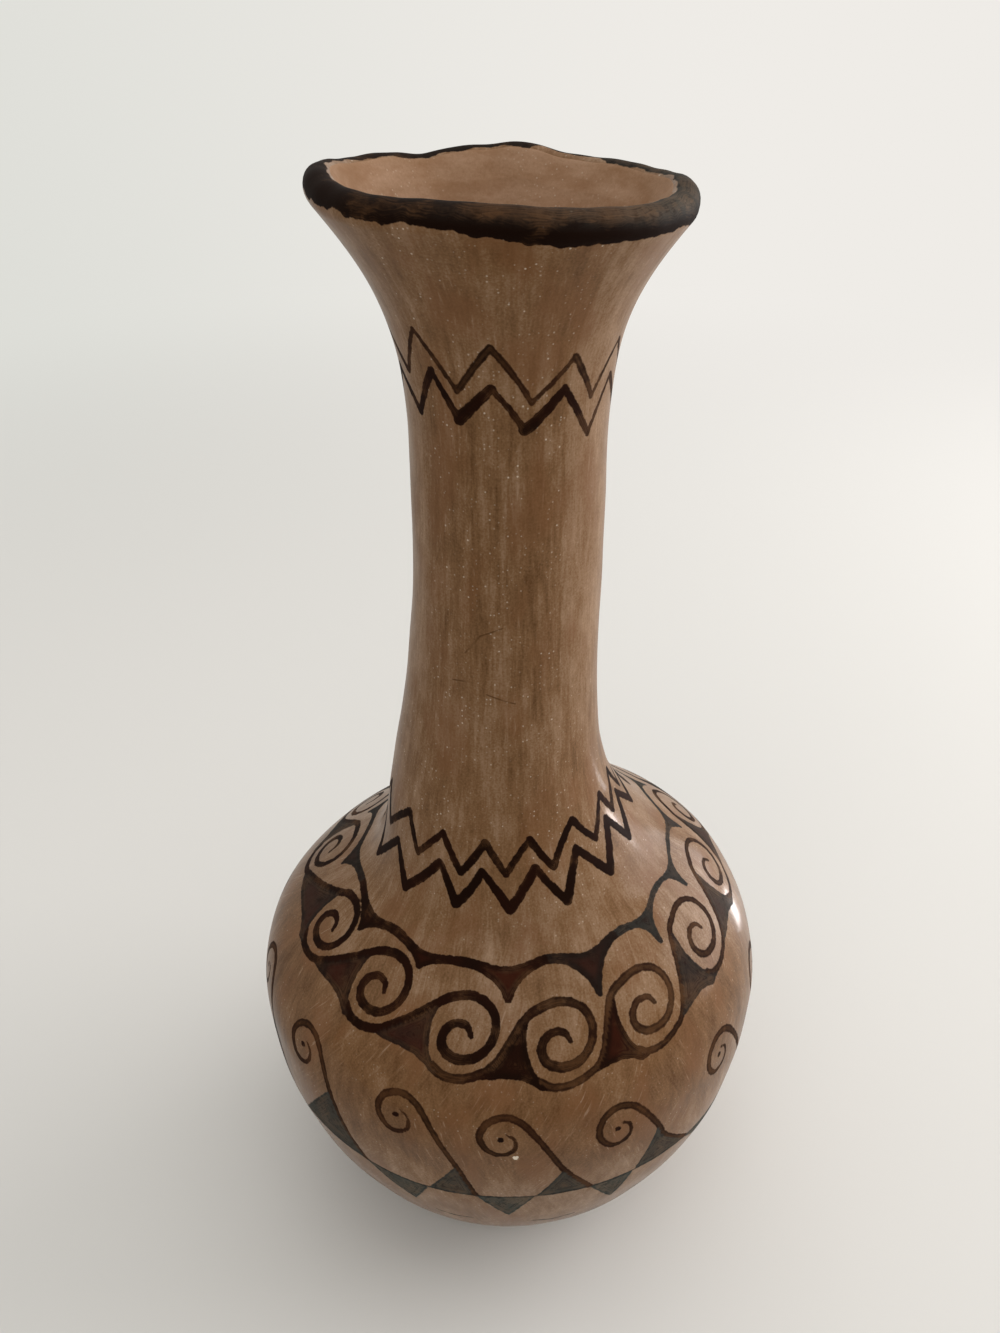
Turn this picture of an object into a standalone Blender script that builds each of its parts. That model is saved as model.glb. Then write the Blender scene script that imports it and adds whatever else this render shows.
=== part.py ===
"""Hand-built pottery vase with a round belly, a long neck and a flared mouth.

A base dish carries coil courses that were pressed and lapped on to each other,
and a thick lip coil closes the mouth. Metres, +Z up, the foot stands on z = 0.
"""
import math

import bmesh
import bpy
import numpy as np
from mathutils import Vector

# The outer outline, from the foot to the lip
FOOT_RADIUS = 0.038
BELLY_RADIUS = 0.076
BELLY_RISE = 0.081            # foot to the widest ring
SHOULDER_RADIUS = 0.045       # where the round shoulder turns into the hollow under the neck
SHOULDER_RISE = 0.043         # widest ring to that turn
SHOULDER_LEAN = math.radians(52)
NECK_RADIUS = 0.0235          # narrowest ring of the neck
NECK_RISE = 0.126             # shoulder turn to the narrowest ring
RIM_RADIUS = 0.0415
FLARE_RISE = 0.057            # narrowest ring to the top of the lip
FLARE_LEAN = math.radians(38)

# How far each curve runs straight at its start and its end, as a share of its chord
SHOULDER_PULL = (0.41, 0.30)
NECK_PULL = (0.18, 0.50)
FLARE_PULL = (0.48, 0.34)

# The wall
WALL = 0.0055
LIP = 0.007                   # the wall thickens to this at the lip, which is rounded over
FLOOR = 0.007
FOOT_ROUND = 0.004
FLOOR_ROUND = 0.014

# The courses, and the slanted seams where each laps the one below
DISH_WALL = 0.016             # height of the base dish's turned-up edge, along the wall
BELLY_COURSES = 4
SHOULDER_COURSES = 3
NECK_COURSES = 7
FLARE_COURSES = 2
LIP_COURSE = 0.012
SEAM_LAP = 0.0055             # inner edge of a seam above its outer edge, along the wall
SEAM_GAP = 0.0003             # slip film between two courses

# The hand of the potter: the neck's foot stands off centre, and the lip is not level
NECK_SWAY = -0.0026
SWAY_HEIGHT = 0.026           # above the shoulder turn
SWAY_REACH = 0.036
RIM_SHIFT = -0.0013
RIM_TILT = 0.0015             # left side up, right side down
RIM_WAVE = 0.0006
RIM_WAVES = 4

# Facets
SEGMENTS = 48
COURSE_ROWS = 2
LIP_ROWS = 6
FOOT_ROWS = 3
CURVE_STEPS = 160
MERGE = 1e-6
SHARP_ANGLE = math.radians(40)

CLAY = (0.27, 0.17, 0.11, 1.0)
DARK_SLIP = (0.035, 0.026, 0.021, 1.0)
BURNISHED = 0.42
SLIP_ROUGHNESS = 0.50

shoulder_z = BELLY_RISE + SHOULDER_RISE
neck_z = shoulder_z + NECK_RISE
rim_z = neck_z + FLARE_RISE


def smooth_step(x):
    t = np.clip(x, 0.0, 1.0)
    return t * t * (3.0 - 2.0 * t)


def pulled_curve(start, start_lean, end, end_lean, pull):
    """Cubic curve between two points whose tangents lean outwards from upright."""
    start, end = np.array(start), np.array(end)
    chord = np.linalg.norm(end - start)
    first = start + pull[0] * chord * np.array((math.sin(start_lean), math.cos(start_lean)))
    second = end - pull[1] * chord * np.array((math.sin(end_lean), math.cos(end_lean)))
    t = np.linspace(0.0, 1.0, CURVE_STEPS)[:, None]
    return ((1 - t) ** 3 * start + 3 * t * (1 - t) ** 2 * first
            + 3 * t ** 2 * (1 - t) * second + t ** 3 * end)


def round_corner(start, corner, end, steps):
    """Points from start to end that round a corner off."""
    t = np.linspace(0.0, 1.0, steps)[:, None]
    return (1 - t) ** 2 * start + 2 * t * (1 - t) * corner + t ** 2 * end


class Outline:
    """The wall's outer and inner curves, both read by the distance along the outer one."""

    def __init__(self):
        self.lip_centre = np.array((RIM_RADIUS - LIP / 2, rim_z - LIP / 2))
        lip_side = np.array((math.cos(FLARE_LEAN), -math.sin(FLARE_LEAN)))
        belly_depth = BELLY_RISE / math.sqrt(1 - (FOOT_RADIUS / BELLY_RADIUS) ** 2)
        turn = np.linspace(-math.asin(BELLY_RISE / belly_depth), 0.0, CURVE_STEPS)
        belly = np.column_stack((BELLY_RADIUS * np.cos(turn), BELLY_RISE + belly_depth * np.sin(turn)))
        shoulder = pulled_curve((BELLY_RADIUS, BELLY_RISE), 0.0,
                                (SHOULDER_RADIUS, shoulder_z), -SHOULDER_LEAN, SHOULDER_PULL)
        neck = pulled_curve((SHOULDER_RADIUS, shoulder_z), -SHOULDER_LEAN,
                            (NECK_RADIUS, neck_z), 0.0, NECK_PULL)
        flare = pulled_curve((NECK_RADIUS, neck_z), 0.0,
                             self.lip_centre + LIP / 2 * lip_side, FLARE_LEAN, FLARE_PULL)
        self.points = np.vstack((belly, shoulder[1:], neck[1:], flare[1:]))
        steps = np.linalg.norm(np.diff(self.points, axis=0), axis=1)
        self.run = np.concatenate(((0.0,), np.cumsum(steps)))
        last = CURVE_STEPS - 1
        self.belly, self.shoulder, self.neck, self.lip = self.run[[last, 2 * last, 3 * last, 4 * last]]
        slope = np.gradient(self.points, self.run, axis=0)
        slope /= np.linalg.norm(slope, axis=1)[:, None]
        inward = np.column_stack((-slope[:, 1], slope[:, 0]))
        swell = smooth_step((self.run - self.neck) / (self.lip - self.neck))
        self.inner_points = self.points + inward * (WALL + (LIP - WALL) * swell)[:, None]

    def outer(self, run):
        return np.column_stack([np.interp(run, self.run, self.points[:, i]) for i in (0, 1)])

    def inner(self, run):
        return np.column_stack([np.interp(run, self.run, self.inner_points[:, i]) for i in (0, 1)])


def hand_shaped(point):
    """Carry a turned point to where the potter's hand left it."""
    lift = smooth_step((point.z - neck_z) / FLARE_RISE)
    off_centre = (point.z - shoulder_z - SWAY_HEIGHT) / SWAY_REACH
    above_belly = smooth_step((point.z - BELLY_RISE) / SHOULDER_RISE)
    turn = math.atan2(point.y, point.x)
    wave = -RIM_TILT * math.cos(turn) + RIM_WAVE * math.cos(RIM_WAVES * turn)
    shift = NECK_SWAY * math.exp(-off_centre ** 2) * above_belly + RIM_SHIFT * lift
    return Vector((point.x + shift, point.y, point.z + wave * lift))


def fired_clay(name, colour, roughness):
    material = bpy.data.materials.new(name + "_clay")
    material.use_nodes = True
    shader = material.node_tree.nodes["Principled BSDF"]
    shader.inputs["Base Color"].default_value = colour
    shader.inputs["Roughness"].default_value = roughness
    shader.inputs["Metallic"].default_value = 0.0
    return material


def turned_piece(name, section, closed, colour=CLAY, roughness=BURNISHED):
    """Spin a section about the vase's axis, then shape it by hand."""
    shape = bmesh.new()
    corners = [shape.verts.new((radius, 0.0, height)) for radius, height in section]
    ends = corners[1:] + corners[:1] if closed else corners[1:]
    edges = [shape.edges.new(pair) for pair in zip(corners, ends)]
    bmesh.ops.spin(shape, geom=corners + edges, cent=(0, 0, 0), axis=(0, 0, 1),
                   angle=2 * math.pi, steps=SEGMENTS, use_duplicate=False)
    bmesh.ops.remove_doubles(shape, verts=shape.verts[:], dist=MERGE)
    bmesh.ops.recalc_face_normals(shape, faces=shape.faces[:])
    for vert in shape.verts:
        vert.co = hand_shaped(vert.co)
    mesh = bpy.data.meshes.new(name)
    shape.to_mesh(mesh)
    shape.free()
    mesh.shade_smooth()
    mesh.set_sharp_from_angle(angle=SHARP_ANGLE)
    mesh.materials.append(fired_clay(name, colour, roughness))
    piece = bpy.data.objects.new(name, mesh)
    bpy.context.scene.collection.objects.link(piece)
    piece.parent = vase
    return piece


def base_dish(outline, top):
    """The pressed dish: a flat foot, a rounded edge and the start of the belly."""
    corner = np.array((FOOT_RADIUS, 0.0))
    foot_edge = round_corner(corner - (FOOT_ROUND, 0.0), corner, outline.outer([FOOT_ROUND])[0], FOOT_ROWS)
    outer_wall = outline.outer(np.linspace(FOOT_ROUND, top - seam_step, COURSE_ROWS + 1))[1:]
    wall_top = outline.inner([top + SEAM_LAP - seam_step])
    floor_edge = np.array((wall_top[0][0] - FLOOR_ROUND, FLOOR))
    floor_corner = np.array((wall_top[0][0] - FLOOR_ROUND / 2, FLOOR))
    floor = round_corner(wall_top[0], floor_corner, floor_edge, FOOT_ROWS + 1)[1:]
    section = np.vstack(((0.0, 0.0), foot_edge, outer_wall, wall_top, floor, (0.0, FLOOR)))
    return turned_piece("base_dish", section, closed=False)


def coil_course(outline, name, bottom, top):
    """One coil, pressed flat into the wall between two slanted seams."""
    rows = COURSE_ROWS + 1
    outer_wall = outline.outer(np.linspace(top - seam_step, bottom + seam_step, rows))
    inner_wall = outline.inner(np.linspace(bottom + SEAM_LAP + seam_step, top + SEAM_LAP - seam_step, rows))
    return turned_piece(name, np.vstack((outer_wall, inner_wall)), closed=True)


def lip_coil(outline, bottom):
    """The last coil, thicker than the wall, rounded over and painted with dark slip."""
    rows = COURSE_ROWS + 1
    inner_wall = outline.inner(np.linspace(bottom + SEAM_LAP + seam_step, outline.lip, rows))
    turn = np.linspace(math.pi - FLARE_LEAN, -FLARE_LEAN, LIP_ROWS + 1)[1:-1]
    bead = outline.lip_centre + LIP / 2 * np.column_stack((np.cos(turn), np.sin(turn)))
    outer_wall = outline.outer(np.linspace(outline.lip, bottom + seam_step, rows))
    section = np.vstack((inner_wall, bead, outer_wall))
    return turned_piece("lip_coil", section, True, DARK_SLIP, SLIP_ROUGHNESS)


for old in list(bpy.data.objects):
    bpy.data.objects.remove(old, do_unlink=True)

vase = bpy.data.objects.new("vase", None)
bpy.context.scene.collection.objects.link(vase)

# Half a seam's gap, measured along the wall instead of square to the slanted seam
seam_step = SEAM_GAP / 2 / math.cos(math.atan2(SEAM_LAP, WALL))

wall = Outline()
base_dish(wall, DISH_WALL)
lip_start = wall.lip - LIP_COURSE
zones = (
    ("belly_coil", DISH_WALL, wall.belly, BELLY_COURSES),
    ("shoulder_coil", wall.belly, wall.shoulder, SHOULDER_COURSES),
    ("neck_coil", wall.shoulder, wall.neck, NECK_COURSES),
    ("flare_coil", wall.neck, lip_start, FLARE_COURSES),
)
for zone_name, zone_bottom, zone_top, courses in zones:
    seams = np.linspace(zone_bottom, zone_top, courses + 1)
    for number in range(courses):
        coil_course(wall, f"{zone_name}_{number + 1}", seams[number], seams[number + 1])
lip_coil(wall, lip_start)
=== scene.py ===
import math

import bpy
import numpy as np
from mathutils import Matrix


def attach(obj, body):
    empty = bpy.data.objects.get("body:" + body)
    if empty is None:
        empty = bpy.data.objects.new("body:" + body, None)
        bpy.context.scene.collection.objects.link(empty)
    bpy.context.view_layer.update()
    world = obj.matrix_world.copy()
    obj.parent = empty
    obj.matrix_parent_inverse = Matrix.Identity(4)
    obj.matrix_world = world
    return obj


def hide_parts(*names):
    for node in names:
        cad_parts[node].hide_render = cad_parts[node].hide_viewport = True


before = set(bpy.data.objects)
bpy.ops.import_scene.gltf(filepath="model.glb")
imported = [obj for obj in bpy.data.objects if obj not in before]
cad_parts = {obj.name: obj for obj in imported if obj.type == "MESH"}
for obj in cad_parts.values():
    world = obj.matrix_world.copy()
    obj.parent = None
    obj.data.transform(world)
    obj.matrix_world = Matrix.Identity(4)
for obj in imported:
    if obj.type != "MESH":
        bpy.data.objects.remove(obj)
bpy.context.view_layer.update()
bpy.ops.object.select_all(action="DESELECT")    # the frame comes in selected
print("frame loaded:", len(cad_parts), "pieces of clay")

mm = 0.001
tiny = 1e-9                     # keeps a division safe

# The turned form, the same wall that the solids have
form = {
    "footRadius": 0.038,
    "bellyRadius": 0.076,
    "bellyRise": 0.081,         # foot to the widest ring
    "shoulderRadius": 0.045,
    "shoulderRise": 0.043,
    "shoulderLean": math.radians(52),
    "neckRadius": 0.0235,
    "neckRise": 0.126,
    "rimRadius": 0.0415,
    "flareRise": 0.057,
    "flareLean": math.radians(38),
    "shoulderPull": (0.41, 0.30),
    "neckPull": (0.18, 0.50),
    "flarePull": (0.48, 0.34),
    "wall": 0.0055,
    "lip": 0.007,
    "floor": 0.007,
    "footRound": 0.004,
    "floorRound": 0.014,
    "dishWall": 0.016,
    "seamLap": 0.0055,          # the inner edge of a seam stands above its outer edge
    "lipCourse": 0.012,
    "courses": {"belly": 4, "shoulder": 3, "neck": 7, "flare": 2},
    "curveSteps": 160,
}

shoulderZ = form["bellyRise"] + form["shoulderRise"]
neckZ = shoulderZ + form["neckRise"]
rimZ = neckZ + form["flareRise"]


def smoothStep(x):
    t = np.clip(x, 0.0, 1.0)
    return t * t * (3.0 - 2.0 * t)


def pulledCurve(start, startLean, end, endLean, pull):
    start, end = np.array(start), np.array(end)
    chord = np.linalg.norm(end - start)
    first = start + pull[0] * chord * np.array((math.sin(startLean), math.cos(startLean)))
    second = end - pull[1] * chord * np.array((math.sin(endLean), math.cos(endLean)))
    t = np.linspace(0.0, 1.0, form["curveSteps"])[:, None]
    return (1 - t) ** 3 * start + 3 * t * (1 - t) ** 2 * first + 3 * t ** 2 * (1 - t) * second + t ** 3 * end


def turnedWall():
    f = form
    lipCentre = np.array((f["rimRadius"] - f["lip"] / 2, rimZ - f["lip"] / 2))
    lipSide = np.array((math.cos(f["flareLean"]), -math.sin(f["flareLean"])))
    bellyDepth = f["bellyRise"] / math.sqrt(1 - (f["footRadius"] / f["bellyRadius"]) ** 2)
    turn = np.linspace(-math.asin(f["bellyRise"] / bellyDepth), 0.0, f["curveSteps"])
    widest = (f["bellyRadius"], f["bellyRise"])
    shoulderTurn = (f["shoulderRadius"], shoulderZ)
    neckRing = (f["neckRadius"], neckZ)
    spans = (
        np.column_stack((f["bellyRadius"] * np.cos(turn), f["bellyRise"] + bellyDepth * np.sin(turn))),
        pulledCurve(widest, 0.0, shoulderTurn, -f["shoulderLean"], f["shoulderPull"])[1:],
        pulledCurve(shoulderTurn, -f["shoulderLean"], neckRing, 0.0, f["neckPull"])[1:],
        pulledCurve(neckRing, 0.0, lipCentre + f["lip"] / 2 * lipSide, f["flareLean"], f["flarePull"])[1:],
    )
    outer = np.vstack(spans)
    run = np.concatenate(((0.0,), np.cumsum(np.linalg.norm(np.diff(outer, axis=0), axis=1))))
    ends = np.cumsum([len(span) for span in spans]) - 1
    slope = np.gradient(outer, run, axis=0)
    slope /= np.linalg.norm(slope, axis=1)[:, None]
    inward = np.column_stack((-slope[:, 1], slope[:, 0]))
    swell = smoothStep((run - run[ends[2]]) / (run[ends[3]] - run[ends[2]]))
    inner = outer + inward * (f["wall"] + (f["lip"] - f["wall"]) * swell)[:, None]
    marks = dict(zip(("belly", "shoulder", "neck", "lip"), run[ends]))
    return {"run": run, "outer": outer, "inner": inner, "marks": marks, "lipCentre": lipCentre}


wall = turnedWall()


def along(side, at):
    return np.column_stack([np.interp(at, wall["run"], wall[side][:, i]) for i in (0, 1)])


# What the potter's hand did to the turned form
hand = {
    "neckSway": -0.0028,
    "swayHeight": 0.0265,       # above the shoulder turn
    "swayReach": 0.042,
    "rimShift": -0.0016,
    "bellyShift": 0.0006,
    "shoulderShift": 0.0020,
    "shoulderTilt": 0.0034,     # rise of the shoulder on the right, and fall on the left
    "rimTilt": 0.0015,
    "rimWave": 0.0006,
    "rimWaves": 4,
    "pinches": (                # degrees from the front, lift, reach in degrees
        (9, -0.0006, 14), (70, -0.0005, 13), (132, 0.0007, 11),
        (172, 0.0011, 10), (-151, -0.0009, 9), (-112, -0.0005, 13),
    ),
    "lipLumps": ((8, 0.00007, 0.3), (13, 0.00006, 1.7), (27, 0.00005, 4.0)),     # waves round, size, phase
    "dents": (                  # waves round, waves per metre up, depth, phase
        (2, 9.0, 0.00022, 0.4), (3, -14.0, 0.00020, 2.1), (5, 21.0, 0.00013, 4.0),
        (7, -33.0, 0.00009, 1.2), (11, 45.0, 0.00006, 5.1),
    ),
    "slimDent": 0.3,            # share of a dent's depth on the axis; the belly has all of it
}


def handShaped(points):
    x, y, z = points.T
    lift = smoothStep((z - neckZ) / form["flareRise"])
    aboveTurn = z - shoulderZ
    sway = hand["neckSway"] * np.exp(-((aboveTurn - hand["swayHeight"]) / hand["swayReach"]) ** 2)
    aboveBelly = smoothStep((z - form["bellyRise"]) / form["shoulderRise"])
    turn = np.arctan2(y, x)
    fromFront = np.degrees(np.arctan2(x, -y))
    wave = -hand["rimTilt"] * np.cos(turn) + hand["rimWave"] * np.cos(hand["rimWaves"] * turn)
    for place, height, reach in hand["pinches"]:
        away = (fromFront - place + 180) % 360 - 180
        wave = wave + height * np.exp(-(away / reach) ** 2)
    wave = wave + sum(size * np.sin(waves * turn + phase) for waves, size, phase in hand["lipLumps"])
    lumps = sum(size * np.cos(waves * turn - phase) for waves, size, phase in hand["lipLumps"])
    onBelly = smoothStep(z / form["bellyRise"]) * (1 - aboveBelly)
    onShoulder = aboveBelly * (1 - smoothStep(aboveTurn / form["shoulderRise"]))
    shift = sway * smoothStep(aboveTurn / hand["swayHeight"]) + hand["rimShift"] * lift
    shift = shift + hand["bellyShift"] * onBelly + hand["shoulderShift"] * onShoulder
    tilt = hand["shoulderTilt"] * x / form["shoulderRadius"] * onShoulder
    dent = sum(depth * np.sin(waves * turn + 2 * math.pi * climb * z + phase)
               for waves, climb, depth, phase in hand["dents"])
    dent = dent * smoothStep(z / form["dishWall"]) * (1 - lift) + lumps * lift
    radius = np.maximum(np.hypot(x, y), tiny)
    girth = hand["slimDent"] + (1 - hand["slimDent"]) * radius / form["bellyRadius"]
    grow = 1 + dent / radius * girth * smoothStep(radius / form["neckRadius"])
    return np.column_stack((x * grow + shift, y * grow, z + wave * lift + tilt))


# Painted motifs: turns are degrees from the front, runs are millimetres up the wall from the foot
def allRound(front, behind, rise=None, lean=0.0):
    first, last = front[0], front[-1]
    gap = (first[0] + 360 - last[0]) / (behind + 1)
    added = []
    for i in range(1, behind + 1):
        share = i / (behind + 1)
        height = last[1] + (first[1] - last[1]) * share if rise is None else rise[i % 2]
        added.append((last[0] + gap * (i + lean * (i % 2)), height))
    return list(front) + added


class Brush:
    # load is how thick the paint of a mark lies, and the last share how far it is grey: thin paint with a
    # painted sheen on it
    def __init__(self):
        self.marks = []

    def stroke(self, path, halfWidth, load=1.0, washAndSheen=0.0):
        path = np.array(path, float)
        half = np.interp(np.linspace(0, 1, len(path)), np.linspace(0, 1, len(halfWidth)), halfWidth)
        self.marks.append(("stroke", path, half, load, washAndSheen))

    def fill(self, outline, load=1.0, washAndSheen=0.0):
        self.marks.append(("fill", np.array(outline, float), None, load, washAndSheen))


def throughPoints(points, steps):
    # a smooth line through a few points
    points = np.array(points, float)
    ends = np.vstack((2 * points[0] - points[1], points, 2 * points[-1] - points[-2]))
    t = np.linspace(0, 1, steps, endpoint=False)[:, None]
    spans = []
    for a, b, c, d in zip(ends, ends[1:], ends[2:], ends[3:]):
        bend = t ** 2 * (a - 2.5 * b + 2 * c - d / 2) + t ** 3 * (1.5 * (b - c) + (d - a) / 2)
        spans.append(b + t * (c - a) / 2 + bend)
    return np.vstack(spans + [points[-1:]])


def unitPath(unit, points, refRadius):
    points = np.array(points, float)
    return np.column_stack((unit[0] + np.degrees(points[:, 0] / refRadius), unit[1] + points[:, 1]))


scroll = {
    "front": ((-101, 131.5), (-66.2, 132.4), (-38.2, 130.4), (-12, 126), (11.8, 123.6),
              (35, 124.3), (61, 128.6), (87.2, 129.6), (113, 132)),
    "behind": (8, 7, 8, 6, 8),  # the front ones that those behind repeat
    "radius": 62.7,
    "usualGap": 27.5,           # millimetres from one curl to the next
    # under the curl before, and then up into the curl
    "base": ((-6.2, -7.9), (-3.6, -9.6), (0.7, -9.9), (5.4, -8.4), (9.6, -5.0)),
    "curl": ((-10.6, 6.4), (-5.6, 9.7), (1.0, 10.7), (6.4, 8.4), (8.5, 4.0), (7.4, -1.0), (3.5, -4.6),
             (-1.4, -5.0), (-4.7, -3.0), (-5.4, 0.6), (-2.8, 3.4), (0.7, 3.1), (2.2, 0.7)),
    "halfWidth": (1.4, 1.4, 1.4, 1.35, 1.3, 1.4, 1.5, 1.4, 1.3, 1.3, 1.35, 1.45, 1.5, 1.45, 1.4, 1.3,
                  1.05, 0.8),
    "lineSteps": 5,             # between two points of that line
    "sweep": (3, 6),            # points of that line between which the filled foot hangs
    # the bare ring round the curl, and the lower edge of the foot
    "ring": ((-8.6, 7.2), (-9.1, 2.5), (-8.6, -1.6), (-7.2, -5.5), (-5.6, -7.8)),
    "ringSteps": 4,
    "under": ((-2.6, -10.6), (-6.1, -10.9), (-8.1, -9.4), (-11.1, -8.2), (-15.3, -8.2), (-18.9, -8.8),
              (-22.5, -9.1)),
    "cuspHalf": 1.15,
    "cuspTips": (9.0, 7.4, 7.8, 11.8, 10.4, 8.6, 9.5, 9.3, 9.0),            # above the middle of two curls
    "cuspShifts": (-2.0, -5.2, -4.0, -4.9, -1.4, 0.3, -0.2, -2.9, -2.0),    # degrees off the middle
    "arches": (16.5, 15.0, 15.8, 18.8, 21.8, 21.2, 18.7, 18.4, 17.0),       # the line over each curl
    "archHalves": (1.2, 1.3, 1.4, 1.4, 1.4, 1.3, 1.05, 0.95, 1.1),
    "archDip": 1.9,             # how far it sinks over a cusp
    "archOverlap": 0.8,         # two arches share this much at their tops
    "archPoints": 33,
    "archLoad": 0.95,
    "archBends": (2.1, 1.9, 1.8, 1.8, 1.8, 1.9, 2.5, 2.7, 2.3),             # how steeply a cusp falls
    "strokes": (0.82, 0.90, 0.94, 0.96, 0.94, 0.84, 0.74, 0.70, 0.74),      # how wide each one is drawn
    "load": (0.8, 0.9, 0.95, 1.0, 0.7, 0.54, 0.62, 0.62, 0.7),
    "footLoad": (0.75, 0.8, 0.78, 0.7, 0.95, 0.95, 0.75, 0.75, 0.75),
    # grey of the feet and cusps: thin paint with a painted sheen, most on those towards the sides
    "footWashAndSheen": (0.3, 0.2, 0.08, 0.1, 0.0, 0.0, 0.22, 0.3, 0.3),
    "cuspWashAndSheen": (0.25, 0.2, 0.0, 0.0, 0.0, 0.1, 0.35, 0.4, 0.4),
}


def paintScroll(brush):
    s = scroll
    units = allRound(s["front"], len(s["behind"]))
    kinds = (*range(len(s["front"])), *s["behind"])
    base, curl, under = (np.array(s[part]) for part in ("base", "curl", "under"))
    ring = throughPoints(s["ring"], s["ringSteps"])
    sweepStart, sweepEnd = (point * s["lineSteps"] for point in s["sweep"])
    cusps = []
    for i, unit in enumerate(units):
        cusps.append(unit[0] - (unit[0] - units[i - 1][0]) % 360 / 2 + s["cuspShifts"][kinds[i]])
    for i, unit in enumerate(units):
        before, kind, kindBefore = units[i - 1], kinds[i], kinds[i - 1]
        gap = np.radians((unit[0] - before[0]) % 360) * s["radius"]
        drop = before[1] - unit[1]
        path = throughPoints(np.vstack((base + (-gap, drop), curl)), s["lineSteps"])
        width = np.array(s["halfWidth"]) * s["strokes"][kind]
        brush.stroke(unitPath(unit, path, s["radius"]), width, s["load"][kind])
        across = under[:, 0] * (1 + (gap / s["usualGap"] - 1) * under[:, 0] / under[-1, 0])
        low = np.column_stack((across, under[:, 1] - across / gap * drop))
        foot = unitPath(unit, np.vstack((path[sweepStart:sweepEnd], ring, low)), s["radius"])
        brush.fill(foot, s["footLoad"][kind], s["footWashAndSheen"][kind])
        ends = ((before[1] + s["arches"][kindBefore], s["archHalves"][kindBefore]),
                (unit[1] + s["arches"][kind], s["archHalves"][kind]))
        tip = (before[1] + unit[1]) / 2 + s["cuspTips"][kind]
        apart = ((cusps[i] - cusps[i - 1]) % 360, (cusps[(i + 1) % len(cusps)] - cusps[i]) % 360)
        paintCusp(brush, cusps[i], np.radians(apart) / 2 * s["radius"], ends, tip, kind)


def paintCusp(brush, middle, halves, ends, tip, kind):
    # from the top of one arch, down to the cusp and up to the top of the next
    s = scroll
    left, right = halves
    across = np.linspace(-left - s["archOverlap"], right + s["archOverlap"], s["archPoints"])
    half = np.where(across < 0, left, right)
    share = np.clip((across + left) / (left + right), 0, 1)
    line, lineHalf = (first + (last - first) * share for first, last in zip(*ends))
    bend = s["archBends"][kind]
    reach = np.clip((np.abs(across) - s["cuspHalf"]) / (half - s["cuspHalf"]), 0, 1)
    sweep = (1 - (1 - reach) ** bend) ** (1 / bend)
    lower = tip + (line - lineHalf - tip) * sweep
    upper = line + lineHalf - s["archDip"] * (1 - smoothStep(np.abs(across) / half))
    outline = np.vstack((np.column_stack((across, upper)), np.column_stack((across, lower))[::-1]))
    brush.fill(unitPath((middle, 0), outline, s["radius"]), s["archLoad"], s["cuspWashAndSheen"][kind])


hooks = {
    "front": ((-50.2, 103.2), (-23.2, 102), (-1.5, 100.4), (22.5, 97.2), (51.8, 97.6)),
    "behind": (1, 2, 3, 4, 2, 1, 4, 2, 3),
    "radius": 75.5,
    "curl": ((1.1, 1.8), (3.4, 0.4), (3.9, -2.8), (1.8, -5.2), (-1.6, -5.3), (-4.3, -2.7), (-5.5, 0.8),
             (-4.3, 4.4), (-1.0, 6.5), (2.6, 6.4)),
    "stem": ((5.9, 4.5), (9.5, 0.0), (13.3, -6.6), (16.9, -14.2)),
    "stemEnds": (23.7, 21.7, 25.2, 26.2, 24.0),     # where each stem meets the base line, right of its dot
    "stemStop": 0.3,            # above the base line
    "lineSteps": 4,
    "standing": ((-2.4, 2), (8.4, 1), (9.9, 1), (7.5, 2), (8.5, 1)),    # left corner, and spans of the stem
    "halfWidth": (0.4, 0.6, 0.78, 0.95, 1.05, 1.15, 1.2, 1.15, 1.1, 1.0, 0.98, 1.1),
    "dot": 0.9,
    "dab": ((-0.2, 0), (0.2, 0)),   # the short dab that makes the dot
    "baseRun": 72.9,
    "baseHalf": (0.4, 0.45, 0.4),
    "tip": (2.6, 58.6),         # of the hanging triangles: right of the dot, and run
    "lowLine": ((0.28, 52.6), (0.5, 51.0), (0.74, 52.4)),       # share of the way to the next hook, and run
    "lowHalf": (0.4, 0.62, 0.4),
    "paints": {                 # load and grey; the grey is thin paint with a painted sheen
        "stem": (0.56, 0.0), "dot": (0.95, 0.0), "standing": (0.62, 0.66), "hanging": (0.5, 1.0),
        "base": (0.8, 0.5), "low": (0.75, 0.5),
    },
}


def paintHooks(brush):
    h = hooks
    units = allRound(h["front"], len(h["behind"]))
    kinds = (*range(len(h["front"])), *h["behind"])
    paints = h["paints"]
    for i, unit in enumerate(units):
        before, after = units[i - 1], units[(i + 1) % len(units)]
        gapBefore, gap = (np.radians(apart % 360) * h["radius"]
                          for apart in (unit[0] - before[0], after[0] - unit[0]))
        floor = h["baseRun"] - unit[1]
        end = h["stemEnds"][kinds[i]]
        left, spans = h["standing"][kinds[i]]
        path = throughPoints(np.vstack((h["curl"], h["stem"], (end, floor + h["stemStop"]))), h["lineSteps"])
        brush.stroke(unitPath(unit, path, h["radius"]), h["halfWidth"], *paints["stem"])
        brush.stroke(unitPath(unit, h["dab"], h["radius"]), (h["dot"], h["dot"]), *paints["dot"])
        standing = np.vstack((path[-h["lineSteps"] * spans - 1:], [(left, floor)]))
        brush.fill(unitPath(unit, standing, h["radius"]), *paints["standing"])
        endBefore = h["stemEnds"][kinds[i - 1]] - gapBefore
        hanging = [(endBefore, floor), (left, floor), (h["tip"][0], h["tip"][1] - unit[1])]
        brush.fill(unitPath(unit, hanging, h["radius"]), *paints["hanging"])
        line = [(0, floor), (gap / 2, floor), (gap, floor)]
        brush.stroke(unitPath(unit, line, h["radius"]), h["baseHalf"], *paints["base"])
        low = [(share * gap, run - unit[1]) for share, run in h["lowLine"]]
        brush.stroke(unitPath(unit, low, h["radius"]), h["lowHalf"], *paints["low"])


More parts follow.
